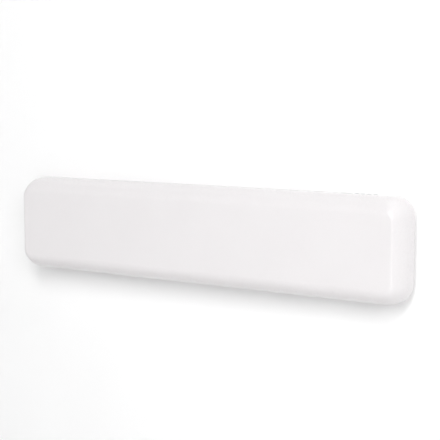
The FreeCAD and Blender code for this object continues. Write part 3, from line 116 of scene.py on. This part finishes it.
class Finish:
    """A material with one shader, the point on the piece in metres, and noises over it."""

    def __init__(self, name, roughness, metallic=0.0, **constants):
        self.material = bpy.data.materials.new(name)
        self.material.use_nodes = True
        self.tree = self.material.node_tree
        self.shader = self.tree.nodes["Principled BSDF"]
        self.roughness = roughness
        self.shader.inputs["Roughness"].default_value = roughness
        self.shader.inputs["Metallic"].default_value = metallic
        for constant, value in constants.items():
            self.shader.inputs[constant.replace("_", " ")].default_value = value
        place = self.tree.nodes.new("ShaderNodeTexCoord")
        self.point = Wave(self.tree, place.outputs["Object"])

    def axis(self, index):
        return self.point.node("ShaderNodeSeparateXYZ", out=index, Vector=self.point)

    def stretched(self, scale):
        return self.point.node("ShaderNodeMapping", Vector=self.point, Scale=scale)

    def noise(self, scale, detail=2.0, point=None):
        return self.point.node("ShaderNodeTexNoise", Vector=point or self.point, Scale=scale, Detail=detail)

    def set(self, name, wave):
        self.tree.links.new(wave.socket, self.shader.inputs[name])

    def gloss(self, wave, spread):
        """Roughness that wanders with the wave about the finish's own level."""
        self.set("Roughness", wave * spread + (self.roughness - spread / 2))

    def bump(self, wave, strength, distance):
        self.set("Normal", wave.node("ShaderNodeBump", Height=wave, Strength=strength, Distance=distance))


def powder_coat(name, shade, dull, roughness):
    """Baked powder: an even colour with faint clouds, a fine orange peel and a slightly uneven gloss."""
    finish = Finish(name, roughness)
    finish.set("Base Color", finish.noise(scale=7.0, detail=3.0).tint(dull, shade))
    peel = finish.noise(scale=700.0, detail=1.0)
    finish.gloss(peel, spread=0.06)
    finish.bump(peel, strength=0.05, distance=0.0004)
    return finish.material


WARM_WHITE = colour(0.775, 0.754, 0.761)
WARM_WHITE_DULL = colour(0.765, 0.744, 0.751)
white_coat = powder_coat("white_powder_coat", WARM_WHITE, WARM_WHITE_DULL, roughness=0.28)

cover_low, cover_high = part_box("front_cover")
half_width = (cover_high[0] - cover_low[0]) / 2
half_height = (cover_high[2] - cover_low[2]) / 2
back_out = -cover_high[1]
front_out = -cover_low[1]
CORNER = 0.046
FRONT_CORNER = 0.010
END_WIDTH = 0.023
END_BEND = 0.008
END_TURN = math.radians(62)
EDGE_UP = 0.042
EDGE_DEPTH = 0.050
COVER_SHEET = 0.0012
LIP_WIDTH = 0.012
FOLD = 0.0018
SHARP_EDGE = math.radians(40)

# The openings hold the outlet grille and the control panel on top, and the inlet grille and the switch below.
OPENING_GAP = 0.00035
GRILLE_FLANGE = 0.003
PANEL_FLANGE = 0.002
SWITCH_FLANGE = 0.0015
grille_low, grille_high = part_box("outlet_grille")
panel_low, panel_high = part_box("control_panel")
switch_low, switch_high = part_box("switch_housing")
opening_back = -panel_high[1] + PANEL_FLANGE
opening_front = -panel_low[1] - PANEL_FLANGE
grille_room = (grille_low[0] + GRILLE_FLANGE - OPENING_GAP, grille_high[0] - GRILLE_FLANGE + OPENING_GAP)
control_room = (panel_low[0] + PANEL_FLANGE, panel_high[0] - PANEL_FLANGE)
switch_room = (switch_low[0] + SWITCH_FLANGE, switch_high[0] - SWITCH_FLANGE)
top_rooms = (grille_room, control_room)
bottom_rooms = (grille_room, switch_room)
opening_ends = sorted({*grille_room, *control_room, *switch_room})

# The mesh is a stack of rings from the lip to the front; every ring has a point at each end of each opening.
SEAM = 0.001
LEVEL_TOLERANCE = 1e-5
FOLD_STEPS = 4
EDGE_STEPS = 70
TAIL_STEPS = 8
CORNER_STEPS = 20
QUARTER_TURN = math.pi / 2


def outline_ring(half_across, half_up, radius):
    """Points round a rounded rectangle, counter-clockwise seen from the room, from the bottom left."""
    reach = half_across - radius
    level = half_up - radius
    along = [-reach] + [max(SEAM - reach, min(reach - SEAM, end)) for end in opening_ends] + [reach]
    points = [(x, -half_up) for x in along]
    corners = ((reach, -level), (reach, level), (-reach, level), (-reach, -level))
    top = [(x, half_up) for x in reversed(along[:-1])]
    sides = ([(half_across, level)], top, [(-half_across, -level)], [])
    for quarter, ((x, z), side) in enumerate(zip(corners, sides)):
        for step in range(1, CORNER_STEPS + 1):
            angle = QUARTER_TURN * (quarter - 1 + step / CORNER_STEPS)
            points.append((x + radius * math.cos(angle), z + radius * math.sin(angle)))
        points += side
    return points[:-1]


end_arc = (END_WIDTH - END_BEND * math.sin(END_TURN)) / (1 - math.sin(END_TURN))
bend_fall = END_BEND * (1 - math.cos(END_TURN))
end_fall = bend_fall + end_arc * math.cos(END_TURN)


def end_inset(fall):
    """How far the ends lie inside the full width, at this distance behind the front."""
    if fall > bend_fall:
        return end_arc - math.sqrt(end_arc ** 2 - max(0.0, end_fall - fall) ** 2)
    return END_WIDTH - math.sqrt(END_BEND ** 2 - (END_BEND - fall) ** 2)


def edge_curl(fall):
    """The share of the elliptical edge's rise still to come, at this distance behind the front."""
    rest = max(0.0, 1 - fall / EDGE_DEPTH)
    return 1 - math.sqrt(1 - rest ** 2)


rings = [(back_out, LIP_WIDTH, LIP_WIDTH, CORNER - LIP_WIDTH)]
for step in range(FOLD_STEPS + 1):
    angle = QUARTER_TURN * step / FOLD_STEPS
    inset = FOLD * (1 - math.sin(angle))
    rings.append((back_out + FOLD * (1 - math.cos(angle)), inset, inset, CORNER - inset))
falls = {front_out - opening_back, front_out - opening_front}
falls.update(EDGE_DEPTH * (1 - math.cos(QUARTER_TURN * step / EDGE_STEPS)) for step in range(EDGE_STEPS + 1))
falls.update(EDGE_DEPTH + (end_fall - EDGE_DEPTH) * step / TAIL_STEPS for step in range(1, TAIL_STEPS + 1))
for fall in sorted(falls, reverse=True):
    curl = edge_curl(fall)
    rings.append((front_out - fall, end_inset(fall), EDGE_UP * curl, CORNER - (CORNER - FRONT_CORNER) * curl))

vertices = []
for out, across, up, radius in rings:
    vertices += [(x, -out, z) for x, z in outline_ring(half_width - across, half_height - up, radius)]
count = len(vertices) // len(rings)
faces = []
for ring in range(len(rings) - 1):
    for place in range(count):
        following = (place + 1) % count
        quad = (ring * count + place, ring * count + following, (ring + 1) * count + following,
                (ring + 1) * count + place)
        middle = sum((Vector(vertices[corner]) for corner in quad), Vector()) / len(quad)
        rooms = top_rooms if middle.z > 0 else bottom_rooms
        level = abs(abs(middle.z) - half_height) < LEVEL_TOLERANCE
        deep = opening_back < -middle.y < opening_front
        if deep and level and any(low < middle.x < high for low, high in rooms):
            continue
        faces.append(quad)
faces.append(tuple((len(rings) - 1) * count + place for place in range(count)))


def new_piece(name, points, polygons, material):
    mesh = bpy.data.meshes.new(name)
    mesh.from_pydata(points, [], polygons)
    mesh.validate()
    mesh.polygons.foreach_set("use_smooth", [True] * len(mesh.polygons))
    piece = bpy.data.objects.new(name, mesh)
    bpy.context.collection.objects.link(piece)
    piece.data.materials.append(material)
    return piece


cover = new_piece("cover_skin", vertices, faces, white_coat)
shell = cover.modifiers.new("sheet", "SOLIDIFY")
shell.thickness = COVER_SHEET
shell.offset = -1.0
split = cover.modifiers.new("edges", "EDGE_SPLIT")
split.split_angle = SHARP_EDGE
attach(cover, "heater")
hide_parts("front_cover")


def paint(material, *names):
    for name in names:
        piece = nodes[name]
        piece.data.materials.clear()
        piece.data.materials.append(material)


# Grilles, back panel and wall bracket
# Punched and folded sheet in the same white powder as the cover. The back panel is screwed to the cover's
# lip, and the bracket's two channels are riveted to their cross rail.

paint(white_coat, "outlet_grille", "inlet_grille", "back_panel", "bracket_upright_left",
      "bracket_upright_right", "bracket_rail")

# Zinc-plated steel and brass
# Hangers, pins, screws, rivets and element supports are mild steel with a bright blue-grey zinc coat. The
# terminals and the earth nut are turned or pressed from brass.


def plated(name, shade, dull, roughness):
    """Plated metal: small cloudy spangles and fine scuffs."""
    finish = Finish(name, roughness, metallic=1.0)
    finish.set("Base Color", finish.noise(scale=160.0, detail=4.0).tint(dull, shade, low=0.35, high=0.65))
    scuff = finish.noise(scale=1400.0)
    finish.gloss(scuff, spread=0.2)
    finish.bump(scuff, strength=0.08, distance=0.0002)
    return finish.material


ZINC = colour(0.70, 0.71, 0.73)
ZINC_DULL = colour(0.56, 0.57, 0.60)
BRASS = colour(0.80, 0.62, 0.28)
BRASS_DULL = colour(0.66, 0.48, 0.20)
paint(plated("zinc_plate", ZINC, ZINC_DULL, roughness=0.34), "hanger_left", "hanger_right", "hanger_pins",
      "panel_rivets", "panel_screws", "cover_screws", "bracket_rivets", "element_support_left",
      "element_support_right", "board_screws", "radio_module", "switch_axle", "earth_stud")
paint(plated("brass", BRASS, BRASS_DULL, roughness=0.32), "element_terminals", "spade_terminals",
      "earth_nut")

# Heating element and heat shield
# The fins are an aluminium extrusion pressed on a steel-sheathed rod that has coloured with heat; steatite
# bushes carry the rod, and a folded aluminium sheet stands behind it.

DIE_LINES = (0.05, 12.0, 12.0)


def drawn_metal(name, shade, dull, roughness):
    """Metal with die lines along its length."""
    finish = Finish(name, roughness, metallic=1.0)
    streak = finish.noise(scale=60.0, detail=3.0, point=finish.stretched(DIE_LINES))
    finish.set("Base Color", streak.tint(dull, shade))
    finish.gloss(streak, spread=0.2)
    finish.bump(streak, strength=0.1, distance=0.0002)
    return finish.material


def moulded(name, shade, dull, roughness, mark=None, mark_shade=None):
    """Moulded plastic, rubber or ceramic: fine grain, a slightly uneven colour and perhaps a printed mark or
    painted glow.
    """
    finish = Finish(name, roughness)
    tint = finish.noise(scale=40.0).tint(dull, shade)
    if mark:
        tint = mark(finish).blend(tint, mark_shade)
    finish.set("Base Color", tint)
    skin = finish.noise(scale=900.0)
    finish.gloss(skin, spread=0.12)
    finish.bump(skin, strength=0.12, distance=0.0003)
    return finish.material


ALUMINIUM = colour(0.80, 0.80, 0.81)
ALUMINIUM_DULL = colour(0.68, 0.68, 0.70)
HEATED_STEEL = colour(0.42, 0.36, 0.30)
HEATED_STEEL_DULL = colour(0.25, 0.22, 0.24)
STEATITE = colour(0.86, 0.83, 0.75)
STEATITE_DULL = colour(0.78, 0.75, 0.67)
paint(drawn_metal("extruded_aluminium", ALUMINIUM, ALUMINIUM_DULL, roughness=0.38), "element_fins",
      "heat_shield")
paint(drawn_metal("heated_steel", HEATED_STEEL, HEATED_STEEL_DULL, roughness=0.42), "element_rod")
paint(moulded("steatite", STEATITE, STEATITE_DULL, roughness=0.7), "element_bushes")

# Electronics
# A grey moulded tray and lid hold the power board; its parts are moulded in blue, black and green. The two
# boards are green glass-fibre laminate with copper tracks under the lacquer.

TRAY_GREY = colour(0.30, 0.31, 0.32)
TRAY_GREY_DULL = colour(0.26, 0.27, 0.28)
BLACK = colour(0.035, 0.035, 0.037)
BLACK_DULL = colour(0.022, 0.022, 0.024)
CASE_BLUE = colour(0.05, 0.11, 0.34)
CASE_BLUE_DULL = colour(0.04, 0.08, 0.26)
CASE_GREEN = colour(0.05, 0.30, 0.13)
CASE_GREEN_DULL = colour(0.04, 0.24, 0.10)
TRACK_GREEN = colour(0.10, 0.34, 0.14)
LACQUER_GREEN = colour(0.02, 0.17, 0.07)
TRACK_SCALE = 60.0
TRACK_GAP = 0.06
paint(moulded("grey_moulding", TRAY_GREY, TRAY_GREY_DULL, roughness=0.55), "electronics_tray", "tray_lid",
      "display_ribbon")
paint(moulded("black_moulding", BLACK, BLACK_DULL, roughness=0.45), "overheat_cutout", "transformer",
      "digit_display", "tact_switches", "switch_housing", "sensor_bead", "cord_gland", "gland_nut")
paint(moulded("blue_case", CASE_BLUE, CASE_BLUE_DULL, roughness=0.35), "relay", "capacitor")
paint(moulded("green_case", CASE_GREEN, CASE_GREEN_DULL, roughness=0.45), "mains_terminal_block",
      "element_terminal_blocks")

board = Finish("circuit_board", roughness=0.4)
tracks = board.point.node("ShaderNodeTexBrick", Vector=board.point, Scale=TRACK_SCALE, Mortar_Size=TRACK_GAP)
board.set("Base Color", tracks.tint(TRACK_GREEN, LACQUER_GREEN, low=0.2, high=0.5))
board.bump(tracks, strength=0.1, distance=0.0002)
paint(board.material, "power_board", "display_board")

# Controls on top and rocker switch below
# A white moulded strip lies flush in the cover's top, with four grey caps and a smoked window over the
# digits. The caps' marks are printed, the digits are a painted glow in the window's colour with no lamp
# behind them, and the rocker's marks are filled with paint.

MOULDED_WHITE = colour(0.86, 0.85, 0.85)
MOULDED_WHITE_DULL = colour(0.83, 0.82, 0.82)
CAP_GREY = colour(0.58, 0.58, 0.59)
CAP_GREY_DULL = colour(0.54, 0.54, 0.55)
SMOKE = colour(0.05, 0.052, 0.055)
SMOKE_DULL = colour(0.045, 0.047, 0.05)
MARK_DARK = colour(0.09, 0.09, 0.10)
MARK_WHITE = colour(0.88, 0.88, 0.88)
# Painted glow of lit digits: a pale colour laid on the window, not a lamp.
PAINTED_FIGURE_GLOW = colour(0.85, 0.80, 0.62)
MARK_REACH = 0.0028
MARK_LINE = 0.0004
MARK_SOFT = 0.0001
POWER_GAP = 3 * MARK_LINE
MENU_APART = 5 * MARK_LINE
FIGURE_WIDE = 0.0018
FIGURE_HIGH = 0.0030
FIGURE_APART = 0.0040
ROCKER_MARK_OUT = 0.0036


def inside(distance, limit):
    """1 where the distance is under the limit and 0 beyond it, with a soft edge."""
    return 1.0 - distance.between(limit - MARK_SOFT, limit + MARK_SOFT)


def bar(right, back, half_wide, half_long):
    return inside(right.size(), half_wide) * inside(back.size(), half_long)


def ring_mark(right, back, radius):
    spread = (right * right + back * back).root()
    return inside((spread - radius).size(), MARK_LINE)


def power_mark(right, back):
    gap = inside(right.size(), POWER_GAP) * back.above(0.0)
    stem = bar(right, back - MARK_REACH, MARK_LINE, MARK_REACH / 2)
    return ring_mark(right, back, MARK_REACH) * (1.0 - gap) + stem


def minus_mark(right, back):
    return bar(right, back, MARK_REACH, MARK_LINE)


def plus_mark(right, back):
    level = minus_mark(right, back)
    return level.math("MAXIMUM", level, bar(right, back, MARK_LINE, MARK_REACH))


def menu_mark(right, back):
    return sum(bar(right, back - row * MENU_APART, MARK_REACH, MARK_LINE) for row in (-1, 0, 1))


def figure(right, back, rows, uprights):
    """A seven-bar figure from its level rows, and its uprights given as side and row."""
    half_level = FIGURE_WIDE - MARK_LINE
    half_upright = FIGURE_HIGH / 2 - MARK_LINE
    shown = sum(bar(right, back - row * FIGURE_HIGH, half_level, MARK_LINE) for row in rows)
    for side, row in uprights:
        shown = shown + bar(right - side * FIGURE_WIDE, back - row * FIGURE_HIGH, MARK_LINE, half_upright)
    return shown


# The two digits in the window, drawn as a painted glow.
def painted_glow_mark(right, back):
    two = figure(right + FIGURE_APART, back, (1, 0, -1), ((1, 0.5), (-1, -0.5)))
    zero = figure(right - FIGURE_APART, back, (1, -1), ((-1, 0.5), (1, 0.5), (-1, -0.5), (1, -0.5)))
    return two + zero


def rocker_mark(right, back):
    stroke = bar(right - ROCKER_MARK_OUT, back, MARK_LINE, MARK_REACH / 2)
    return stroke + ring_mark(right + ROCKER_MARK_OUT, back, MARK_REACH / 2)


def placed(draw, piece):
    """The mark drawn about the middle of a piece, seen from above or below."""
    low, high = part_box(piece)

    def mark(finish):
        right = finish.axis(0) - (low[0] + high[0]) / 2
        back = finish.axis(1) - (low[1] + high[1]) / 2
        return draw(right, back)
    return mark


paint(moulded("white_moulding", MOULDED_WHITE, MOULDED_WHITE_DULL, roughness=0.42), "control_housing",
      "control_panel", "sensor_cap", "board_sockets", "wire_clips")
cap_marks = {
    "button_power": power_mark,
    "button_down": minus_mark,
    "button_up": plus_mark,
    "button_menu": menu_mark,
}
for button, draw in cap_marks.items():
    cap_mark = placed(draw, button)
    paint(moulded(button + "_cap", CAP_GREY, CAP_GREY_DULL, 0.45, cap_mark, MARK_DARK), button)
figures = placed(painted_glow_mark, "display_window")
# The digits are painted into the window's colour as a glow; nothing there gives light.
paint(moulded("smoked_window_painted_glow", SMOKE, SMOKE_DULL, 0.14, figures, PAINTED_FIGURE_GLOW), "display_window")
switch_marks = placed(rocker_mark, "switch_rocker")
paint(moulded("rocker_black", BLACK, BLACK_DULL, 0.4, switch_marks, MARK_WHITE), "switch_rocker")

# Rubber and leads
# Bumpers of black rubber are pressed on the bracket's feet and stand the heater off the wall. The leads are
# stranded wire in pale silicone sleeves.

RUBBER = colour(0.04, 0.04, 0.04)
RUBBER_DULL = colour(0.03, 0.03, 0.03)
SILICONE = colour(0.76, 0.74, 0.70)
SILICONE_DULL = colour(0.70, 0.68, 0.64)
paint(moulded("bumper_rubber", RUBBER, RUBBER_DULL, roughness=0.75), "bracket_bumpers")
paint(moulded("silicone_sleeve", SILICONE, SILICONE_DULL, roughness=0.6), "element_lead_left",
      "element_lead_right", "drop_leads")

# Stage
# A matt white wall and a pale floor. Three wide soft lamps far off light the front, a small low strip draws
# the line of light on the right end's bend, and a fill shows the back. The camera stands where the photograph
# was taken.

FLOOR_DOWN = -0.75
STAGE_HALF = 30.0
WALL_GAP = 0.002
WALL_TOP = 3.0
FLOOR_GREY = 0.66
WALL_GREY = 0.935
PAINT_DULL = 0.99
SKY_STRENGTH = 0.31


def flat_paint(name, grey):
    """Matt paint with faint clouds from the roller."""
    finish = Finish(name, roughness=0.9, Specular_IOR_Level=0.0)
    dull_grey = grey * PAINT_DULL
    clouds = finish.noise(scale=3.0)
    finish.set("Base Color", clouds.tint(colour(dull_grey, dull_grey, dull_grey), colour(grey, grey, grey)))
    return finish


def flat_sheet(name, corners, finish):
    return new_piece(name, corners, [(0, 1, 2, 3)], finish.material)


floor = flat_sheet("floor", [(-STAGE_HALF, -STAGE_HALF, FLOOR_DOWN), (STAGE_HALF, -STAGE_HALF, FLOOR_DOWN),
                             (STAGE_HALF, STAGE_HALF, FLOOR_DOWN), (-STAGE_HALF, STAGE_HALF, FLOOR_DOWN)],
                   flat_paint("floor_paint", FLOOR_GREY))
wall_paint = flat_paint("wall_paint", WALL_GREY)
wall = flat_sheet("wall", [(-STAGE_HALF, WALL_GAP, FLOOR_DOWN), (STAGE_HALF, WALL_GAP, FLOOR_DOWN),
                           (STAGE_HALF, WALL_GAP, WALL_TOP), (-STAGE_HALF, WALL_GAP, WALL_TOP)], wall_paint)

# Seen from behind, the wall is clear, so that the heater's back shows.
wall_tree = wall_paint.tree
geometry = wall_tree.nodes.new("ShaderNodeNewGeometry")
clear = wall_tree.nodes.new("ShaderNodeBsdfTransparent")
mix = wall_tree.nodes.new("ShaderNodeMixShader")
wall_tree.links.new(geometry.outputs["Backfacing"], mix.inputs[0])
wall_tree.links.new(wall_paint.shader.outputs[0], mix.inputs[1])
wall_tree.links.new(clear.outputs[0], mix.inputs[2])
wall_tree.links.new(mix.outputs[0], wall_tree.nodes["Material Output"].inputs["Surface"])
wall.visible_shadow = False

world = bpy.data.worlds.new("studio")
bpy.context.scene.world = world
world.use_nodes = True
sky = world.node_tree.nodes["Background"]
sky.inputs["Color"].default_value = colour(1.0, 1.0, 1.0)
sky.inputs["Strength"].default_value = SKY_STRENGTH


def soft_light(name, place, target, wide, high, power):
    data = bpy.data.lights.new(name, "AREA")
    data.shape = "RECTANGLE"
    data.size = wide
    data.size_y = high
    data.energy = power
    lamp = bpy.data.objects.new(name, data)
    bpy.context.collection.objects.link(lamp)
    lamp.location = place
    lamp.rotation_mode = "QUATERNION"
    lamp.rotation_quaternion = (Vector(target) - Vector(place)).to_track_quat("-Z", "Y")


heater_middle = (0.0, 0.0, 0.0)
right_bend = (half_width - 2 * END_WIDTH, -front_out, 0.0)
soft_light("key_front", place=(0.6, -6.2, 2.1), target=heater_middle, wide=2.4, high=2.4, power=104.0)
soft_light("key_right", place=(6.1, -5.4, 2.9), target=heater_middle, wide=2.7, high=2.7, power=140.0)
soft_light("key_top", place=(2.7, -5.8, 4.8), target=heater_middle, wide=2.7, high=2.7, power=236.0)
soft_light("end_strip", place=(0.75, -2.4, -0.36), target=right_bend, wide=0.16, high=0.5, power=3.5)
soft_light("back_fill", place=(-1.0, 4.0, 0.3), target=heater_middle, wide=3.0, high=2.0, power=60.0)

IMAGE_SIDE = 440
FOCAL_PIXELS = 1134.9
SENSOR_WIDTH = 36.0
CAMERA_YAW = math.radians(34.70)
CAMERA_RISE = math.radians(7.22)
CAMERA_AWAY = 2.8760
PIVOT_OUT = 0.060
AIM_RIGHT = 0.0689
AIM_UP = 0.0432
pivot = Vector((0.0, -PIVOT_OUT, 0.0))
level_away = CAMERA_AWAY * math.cos(CAMERA_RISE)
camera_data = bpy.data.cameras.new("camera")
camera_data.sensor_width = SENSOR_WIDTH
camera_data.lens = SENSOR_WIDTH * FOCAL_PIXELS / IMAGE_SIDE
camera = bpy.data.objects.new("camera", camera_data)
bpy.context.collection.objects.link(camera)
camera.location = pivot + Vector((math.sin(CAMERA_YAW) * level_away, -math.cos(CAMERA_YAW) * level_away,
                                  math.sin(CAMERA_RISE) * CAMERA_AWAY))
aim = pivot + Vector((AIM_RIGHT, 0.0, AIM_UP))
camera.rotation_mode = "QUATERNION"
camera.rotation_quaternion = (aim - camera.location).to_track_quat("-Z", "Y")
scene = bpy.context.scene
scene.camera = camera
scene.view_settings.view_transform = "Standard"
